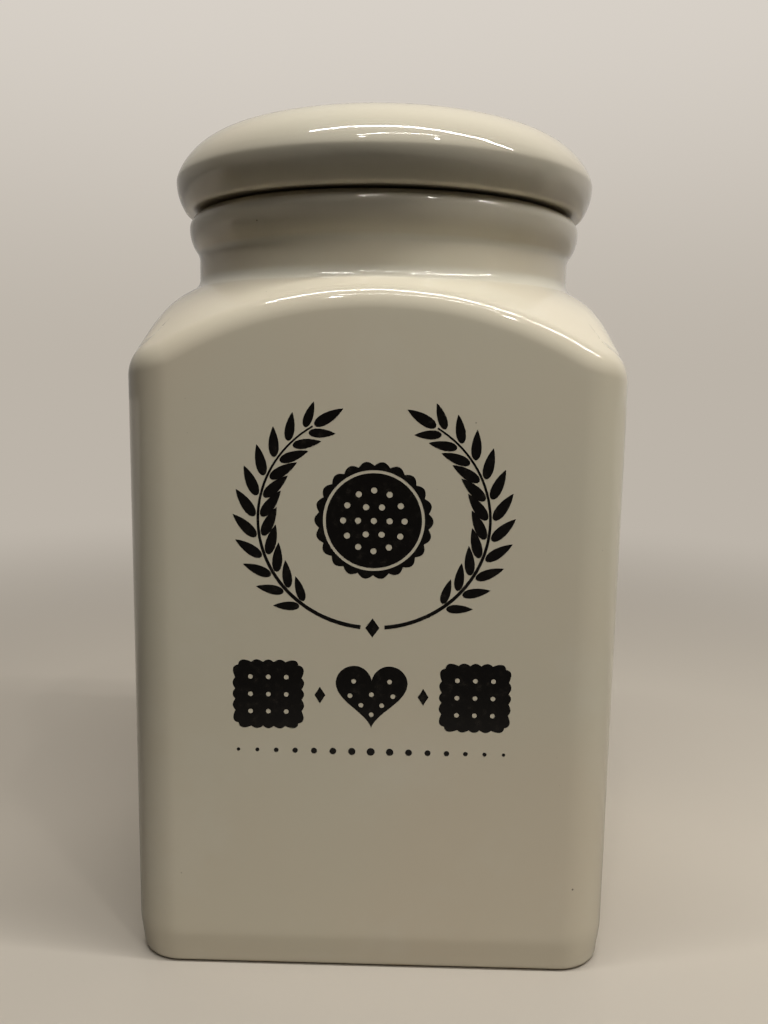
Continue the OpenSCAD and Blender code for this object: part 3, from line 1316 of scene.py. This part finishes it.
@dataclass
class Lid:
    """The fat rounded lid, hollow and open below through the spigot that hangs in the neck.

    Attributes:
        radius: the lid's radius at its widest line.
        top: height of its crown.
        foot: height of the spigot's lower end.
        seat: height of the flat underside that rests over the rim.
        wall: thickness of the wall.
        edge_h: height of the widest line over the seat.
        edge_r: rounding below the widest line.
        seat_edge_r: rounding between that and the seat.
        crown_flat: how steeply the crown rises from the widest line, from 2 for an ellipse up.
        crown_full: how far the crown's top is rounded, from 2 for an ellipse down.
        spigot_r: outer radius of the spigot.
        spigot_t: thickness of the spigot.
        spigot_edge_r: rounding of its lower edges.
        shelf_edge_r: rounding where its bore opens into the hollow lid.
        root_r: rounding where the spigot leaves the seat.
        groove_top: distance of the groove's upper end under the seat.
        groove_h: height of the groove.
        groove_d: depth of the groove.
        groove_r: rounding of its edges and corners.
        eased_h: half the height of the stretch round the widest line whose curve is evened out.
        steps: quads round.
    """

    radius: float
    top: float
    foot: float
    seat: float
    wall: float = 5.5 * MM
    edge_h: float = 8.6 * MM
    edge_r: float = 14 * MM
    seat_edge_r: float = 2 * MM
    crown_flat: float = 6.0
    crown_full: float = 1.4
    spigot_r: float = 47.4 * MM
    spigot_t: float = 7 * MM
    spigot_edge_r: float = 1.6 * MM
    shelf_edge_r: float = 2 * MM
    root_r: float = 1 * MM
    groove_top: float = 3 * MM
    groove_h: float = 9 * MM
    groove_d: float = 2.4 * MM
    groove_r: float = 0.4 * MM
    eased_h: float = 2.5 * MM
    steps: int = 288

    def _crown(self, radius: float, height: float, steps: int) -> list[Vector]:
        """The crown's outline, from its widest line to the axis.

        Args:
            radius: the radius of its widest line.
            height: the height of its top over that line.
            steps: number of points on its curve.

        Returns:
            The points, as (distance from the axis, height).
        """
        middle = self.seat + self.edge_h
        points = []
        for i in range(steps):
            angle = TAU / 4 * i / steps
            points.append(Vector((radius * math.cos(angle) ** (2 / self.crown_flat),
                                  middle + height * math.sin(angle) ** (2 / self.crown_full))))
        last = points[-1].x
        return points + [Vector((last * share, middle + height)) for share in (0.66, 0.33, 0.0)]

    def _spigot(self) -> list[Vector]:
        """The spigot's outline, from its bore in the hollow lid round to the seat outside.

        Returns:
            The points, as (distance from the axis, height).
        """
        bore, shelf = self.spigot_r - self.spigot_t, self.seat + self.wall - self.shelf_edge_r
        low = self.foot + self.spigot_edge_r
        groove_top, groove_x = self.seat - self.groove_top, self.spigot_r - self.groove_d
        groove_foot = groove_top - self.groove_h
        soft, root = self.groove_r, self.root_r
        points = arc((bore + self.shelf_edge_r, shelf), self.shelf_edge_r, 90, 180, 6)
        points += [Vector((bore, shelf - MM)), Vector((bore, low + MM))]
        points += arc((bore + self.spigot_edge_r, low), self.spigot_edge_r, 180, 270, 6)
        points += arc((self.spigot_r - self.spigot_edge_r, low), self.spigot_edge_r, -90, 0, 6)
        points += arc((self.spigot_r - soft, groove_foot - soft), soft, 0, 90, 4)
        points += arc((groove_x + soft, groove_foot + soft), soft, 270, 180, 4)
        points += arc((groove_x + soft, groove_top - soft), soft, 180, 90, 4)
        points += arc((self.spigot_r - soft, groove_top + soft), soft, -90, 0, 4)
        points += [Vector((self.spigot_r, self.seat - root * 1.2))]
        points += arc((self.spigot_r + root, self.seat - root), root, 180, 90, 4)
        return points + [Vector((self.spigot_r + root * 2, self.seat))]

    def profile(self) -> list[Vector]:
        """The lid's whole outline, from the crown's inside to its outside.

        Returns:
            The points, as (distance from the axis, height).
        """
        middle = self.seat + self.edge_h
        edge_x = self.radius - self.edge_r
        drop = self.edge_h - self.seat_edge_r
        turn_x = edge_x + math.sqrt((self.edge_r - self.seat_edge_r) ** 2 - drop**2)
        turn_a = math.degrees(math.atan2(-drop, turn_x - edge_x))
        inner_r, inner_h = self.radius - self.wall, self.edge_h - self.wall
        points = self._crown(inner_r, self.top - self.wall - middle, 26)[::-1]
        points += arc((inner_r - inner_h, middle), inner_h, 0, -90, 6)[1:] + self._spigot()
        points += [Vector((turn_x - 0.5 * MM, self.seat))]
        points += arc((turn_x, self.seat + self.seat_edge_r), self.seat_edge_r, -90, turn_a, 8)
        points += arc((edge_x, middle), self.edge_r, turn_a, 0, 22)[1:]
        return points + self._crown(self.radius, self.top - middle, 64)[1:]

    def build(self, glaze: CreamGlaze) -> bpy.types.Object:
        """Makes the lid and dresses it.

        Args:
            glaze: its finish.

        Returns:
            The piece, which stands for the lid's solid.
        """
        middle = self.seat + self.edge_h
        eased = (middle - self.eased_h, middle + self.eased_h)
        piece = turned("lid_shell", self.profile(), self.steps, glaze.build("cream_glaze_lid"), eased)
        mark_curvature(piece)
        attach(piece, "lid")
        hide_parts("lid")
        return piece


@dataclass
class SealRing:
    """The soft finned ring in the spigot's groove.

    Attributes:
        foot: height of its lower end.
        top: height of its upper end.
        fin_r: radius of the fin tips.
        bore_r: radius of its bore.
        band: thickness of the band that carries the fins.
        fins: number of fins.
        root_t: thickness of a fin at its root.
        tip_t: thickness of a fin at its tip.
        droop: how far the tips hang under the roots.
        soft: rounding of its edges and of the fins' roots.
        steps: quads round.
    """

    foot: float
    top: float
    fin_r: float
    bore_r: float = 45.06 * MM
    band: float = 1.8 * MM
    fins: int = 3
    root_t: float = 1.4 * MM
    tip_t: float = 0.8 * MM
    droop: float = 0.9 * MM
    soft: float = 0.35 * MM
    steps: int = 256

    def profile(self) -> list[Vector]:
        """The ring's outline, with its fins rounded at root and tip.

        Returns:
            The points, as (distance from the axis, height).
        """
        skin = self.bore_r + self.band
        pitch = (self.top - self.foot) / self.fins
        points = arc((self.bore_r + self.soft, self.top - self.soft), self.soft, 90, 180, 4)
        points += arc((self.bore_r + self.soft, self.foot + self.soft), self.soft, 180, 270, 4)
        points += arc((skin - self.soft, self.foot + self.soft), self.soft, -90, 0, 4)
        for i in range(self.fins):
            middle = self.foot + pitch * (i + 0.5)
            tip = (self.fin_r - self.tip_t / 2, middle - self.droop)
            points += arc((skin + self.soft, middle - self.root_t / 2 - self.soft), self.soft, 180, 115, 3)
            points += arc(tip, self.tip_t / 2, -110, 70, 8)
            points += arc((skin + self.soft, middle + self.root_t / 2 + self.soft), self.soft, 245, 180, 3)
        return points + arc((skin - self.soft, self.top - self.soft), self.soft, 0, 90, 4)

    def build(self, finish: SoftSeal) -> bpy.types.Object:
        """Makes the ring and dresses it.

        Args:
            finish: its finish.

        Returns:
            The piece, which stands for the ring's solid.
        """
        piece = turned("seal_ring_soft", self.profile(), self.steps, finish.build("milky_seal"))
        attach(piece, "seal")
        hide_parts("seal_ring")
        return piece


def hang(data: bpy.types.Light, place: Place, aim: Place) -> bpy.types.Object:
    """Hangs a lamp.

    Args:
        data: the lamp's data, whose name it gets.
        place: where it hangs.
        aim: the point that it faces.

    Returns:
        The lamp.
    """
    lamp = bpy.data.objects.new(data.name, data)
    lamp.location = place
    lamp.rotation_euler = (Vector(aim) - Vector(place)).to_track_quat("-Z", "Y").to_euler()
    bpy.context.scene.collection.objects.link(lamp)
    return lamp


@dataclass(frozen=True)
class PanelLamp:
    """A rectangular lamp.

    Attributes:
        name: its name.
        place: where it hangs.
        size: its width and depth.
        power: its power, in watts.
        aim: the point that it faces.
        colour: its colour.
    """

    name: str
    place: Place
    size: tuple[float, float]
    power: float
    aim: Place = (0.0, 0.0, 0.1)
    colour: Colour = LAMP_WHITE

    def build(self) -> bpy.types.Object:
        """Hangs the lamp.

        Returns:
            The lamp.
        """
        data = bpy.data.lights.new(self.name, "AREA")
        data.shape = "RECTANGLE"
        data.size, data.size_y = self.size
        data.energy = self.power
        data.color = self.colour
        return hang(data, self.place, self.aim)


@dataclass(frozen=True)
class ConeLamp:
    """A lamp with a cone of light, which shows in no reflection and passes by one piece.

    Attributes:
        name: its name.
        place: where it hangs.
        aim: the point that it faces.
        cone: the whole angle of its cone, in degrees.
        power: its power, in watts.
        colour: its colour.
        blend: how soft the cone's edge is.
        bulb_r: radius of its bulb.
    """

    name: str
    place: Place
    aim: Place
    cone: float
    power: float
    colour: Colour = (1.0, 0.94, 0.84)
    blend: float = 0.15
    bulb_r: float = 8 * MM

    def build(self, unlit: bpy.types.Object) -> bpy.types.Object:
        """Hangs the lamp.

        Args:
            unlit: the piece that it passes by.

        Returns:
            The lamp.
        """
        data = bpy.data.lights.new(self.name, "SPOT")
        data.energy = self.power
        data.color = self.colour
        data.spot_size = math.radians(self.cone)
        data.spot_blend = self.blend
        data.shadow_soft_size = self.bulb_r
        lamp = hang(data, self.place, self.aim)
        lamp.visible_glossy = False
        passed = bpy.data.collections.new(f"unlit_by_{self.name}")
        passed.objects.link(unlit)
        lamp.light_linking.receiver_collection = passed
        passed.collection_objects[0].light_linking.link_state = "EXCLUDE"
        return lamp


@dataclass
class Scenery:
    """The floor, the lamps, the surround and the camera.

    Attributes:
        backdrop: the colour that the camera sees high behind the object.
        horizon: the colour that it sees where the floor ends.
        floor_tone: the floor's colour.
        floor_r: the floor's radius.
        fade: distances between which the floor turns into the horizon's colour.
        mirrored: distances behind the jar's axis between which reflections come to show the floor pale.
        dim_floor: the floor's tone in the light that it throws back on the object.
        table: distances between which it turns to that tone entirely.
        shade: how far it has turned to that tone already beside the object.
        room_way: the direction in which the dim room is lightest.
        room_light: how bright the room is in its darkest and in its lightest direction.
        room_tone: the colour of its light.
        wall_light: how bright the wall behind is in the light that it gives, from left to right.
        back_light: how much brighter that light is from straight behind.
        wall_gloss: how bright it is in reflections, from left to right.
        panels: the strip overhead, the rail high in front, and the two small lamps in front of that.
        fill: a lamp low in front, to the right, whose cone ends at the jar's neck.
        lens: the camera's focal length, in millimetres on a 36 mm sensor.
        camera_place: where the camera stands.
        camera_turn: its pan, its tilt downwards and its roll, in degrees.
    """

    backdrop: Colour = linear(216, 209, 200)
    horizon: Colour = linear(188, 180, 169)
    floor_tone: Colour = linear(216, 208, 196)
    floor_r: float = 6.0
    fade: tuple[float, float] = (0.14, 0.75)
    mirrored: tuple[float, float] = (-0.05, 0.15)
    dim_floor: Colour = (0.05, 0.048, 0.045)
    table: tuple[float, float] = (0.12, 0.32)
    shade: float = 0.5
    room_way: Place = (0.40, 0.25, 0.88)
    room_light: tuple[float, float] = (0.002, 0.05)
    room_tone: Colour = (1.0, 0.96, 0.89)
    wall_light: tuple[float, float] = (0.06, 0.26)
    back_light: float = 1.5
    wall_gloss: tuple[float, float] = (0.45, 1.0)
    panels: tuple[PanelLamp, ...] = (
        PanelLamp("strip", (0.16, -0.122, 0.58), (0.70, 0.008), 2.2, aim=(0.16, 0.0, 0.0)),
        PanelLamp("rail", (0.16, -0.85, 1.8), (1.0, 0.02), 3.5),
        PanelLamp("ceiling_1", (-0.30, -1.2, 1.8), (0.08, 0.08), 1.6, colour=(1.0, 0.96, 0.90)),
        PanelLamp("ceiling_2", (0.75, -1.05, 1.8), (0.08, 0.08), 1.6, colour=(1.0, 0.96, 0.90)),
    )
    fill: ConeLamp = ConeLamp("fill", (0.70, -1.0, 0.45), aim=(0.0, -0.05, 0.055), cone=12.8, power=12.5)
    lens: float = 32.2
    camera_place: Place = (6.71 * MM, -289.45 * MM, 156.6 * MM)
    camera_turn: tuple[float, float, float] = (-1.07, 8.27, 0.88)

    def floor(self) -> bpy.types.Object:
        """A plain pale floor that runs into the backdrop's colour far behind the object.

        Returns:
            The floor.
        """
        work = bmesh.new()
        bmesh.ops.create_circle(work, cap_ends=True, segments=96, radius=self.floor_r)
        graph = Graph(bpy.data.materials.new("pale_floor"))
        away = graph.add("ShaderNodeVectorMath", {0: graph.place}, operation="LENGTH").outputs["Value"]
        path = graph.add("ShaderNodeLightPath").outputs
        behind = graph.span(graph.parts(graph.place)["Y"], *self.mirrored)
        pale = graph.math("MAXIMUM", path["Is Camera Ray"],
                          graph.math("MULTIPLY", path["Is Glossy Ray"], behind))
        unseen = graph.math("SUBTRACT", 1.0, pale)
        clouds = graph.span(graph.noise(scale=3.0, detail=2.0), 0.3, 0.7)
        tone = graph.blend(clouds, self.floor_tone, tuple(c * 0.96 for c in self.floor_tone))
        tone = graph.blend(graph.math("MULTIPLY", unseen, self.shade), tone, self.dim_floor)
        dim = graph.math("MULTIPLY", graph.span(away, *self.table), unseen)
        tone = graph.blend(dim, tone, self.dim_floor)
        lit = graph.add("ShaderNodeBsdfDiffuse", {"Color": tone}).outputs[0]
        plain = graph.add("ShaderNodeEmission", {"Color": (*self.horizon, 1.0)}).outputs[0]
        share = graph.math("MULTIPLY", graph.span(away, *self.fade), pale)
        graph.add("ShaderNodeOutputMaterial", {"Surface": graph.join(share, lit, plain)})
        piece = finish_mesh("floor", work, graph.owner)
        return piece

    def _room(self, graph: Graph) -> Socket:
        """The dim room, lighter overhead and to the right.

        Args:
            graph: the world's tree.

        Returns:
            The socket of its light.
        """
        values = {0: graph.place, 1: self.room_way}
        toward = graph.add("ShaderNodeVectorMath", values, operation="DOT_PRODUCT").outputs["Value"]
        level = graph.span(toward, -0.6, 1.0, *self.room_light)
        values = {"Color": (*self.room_tone, 1.0), "Strength": level}
        return graph.add("ShaderNodeBackground", values).outputs[0]

    def _wall(self, graph: Graph, across: Socket, back: Socket, mirrored: Socket) -> Socket:
        """The wall behind, lighter to the right, and brighter in reflections than in its light.

        Args:
            graph: the world's tree.
            across: how far to the right a direction points.
            back: how far backwards it points.
            mirrored: whether it is looked at in a reflection.

        Returns:
            The socket of its light.
        """
        light, gloss = (graph.span(across, -0.8, 0.8, *ends, ease="LINEAR")
                        for ends in (self.wall_light, self.wall_gloss))
        light = graph.math("ADD", graph.span(back, 0.4, 0.95, 0.0, self.back_light), light)
        level = graph.span(mirrored, 0.0, 1.0, light, gloss, ease="LINEAR")
        values = {"Color": (*self.backdrop, 1.0), "Strength": level}
        return graph.add("ShaderNodeBackground", values).outputs[0]

    def surround(self) -> None:
        """A dim room with a lighter wall behind, of which the camera sees a plain backdrop."""
        world = bpy.data.worlds.new("studio")
        bpy.context.scene.world = world
        graph = Graph(world, "Generated")
        way = graph.parts(graph.place)
        path = graph.add("ShaderNodeLightPath").outputs
        wall = self._wall(graph, way["X"], way["Y"], path["Is Glossy Ray"])
        around = graph.join(graph.span(way["Y"], 0.0, 0.5), self._room(graph), wall)
        tone = graph.blend(graph.span(way["Z"], 0.0, 0.4), self.horizon, self.backdrop)
        seen = graph.add("ShaderNodeBackground", {"Color": tone}).outputs[0]
        graph.add("ShaderNodeOutputWorld", {"Surface": graph.join(path["Is Camera Ray"], around, seen)})

    def camera(self) -> None:
        """Sets up a camera at arm's length, a little above the middle and looking slightly down."""
        data = bpy.data.cameras.new("camera")
        data.sensor_width = 36.0
        data.lens = self.lens
        data.clip_start = 10 * MM
        piece = bpy.data.objects.new("camera", data)
        pan, pitch, roll = (math.radians(turn) for turn in self.camera_turn)
        ahead = Vector((math.sin(pan) * math.cos(pitch), math.cos(pan) * math.cos(pitch), -math.sin(pitch)))
        right = Vector((math.cos(pan), -math.sin(pan), 0.0))
        above = right.cross(ahead)
        right, above = (right * math.cos(roll) + above * math.sin(roll),
                        above * math.cos(roll) - right * math.sin(roll))
        turn = Matrix((right, above, -ahead)).transposed().to_4x4()
        piece.matrix_world = Matrix.Translation(self.camera_place) @ turn
        bpy.context.scene.collection.objects.link(piece)
        bpy.context.scene.camera = piece

    def build(self) -> None:
        """Sets the whole stage."""
        floor = self.floor()
        self.surround()
        for panel in self.panels:
            panel.build()
        self.fill.build(unlit=floor)
        self.camera()


def main() -> None:
    """Builds the jar, its lid, its seal ring and the stage."""
    logging.basicConfig(level=logging.INFO, format="%(name)s: %(message)s")
    bpy.context.scene.view_settings.view_transform = "Standard"
    jar_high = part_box("jar")[1]
    lid_low, lid_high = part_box("lid")
    seal_low, seal_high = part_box("seal_ring")
    jar = Jar(half=jar_high.x, rim_z=jar_high.z)
    glaze = CreamGlaze(bare_below=lid_low.z + 0.5 * MM)
    lid = Lid(radius=lid_high.x, top=lid_high.z, foot=lid_low.z, seat=jar_high.z + 0.3 * MM)
    seal = SealRing(foot=seal_low.z, top=seal_high.z, fin_r=seal_high.x)
    pieces = [jar.build(), lid.build(glaze), seal.build(SoftSeal())] + KitchenPrint(jar).build(PrintInk())
    for piece in pieces:
        LOG.info("%s: %d faces", piece.name, len(piece.data.polygons))
    Scenery().build()


if __name__ == "__main__":
    main()
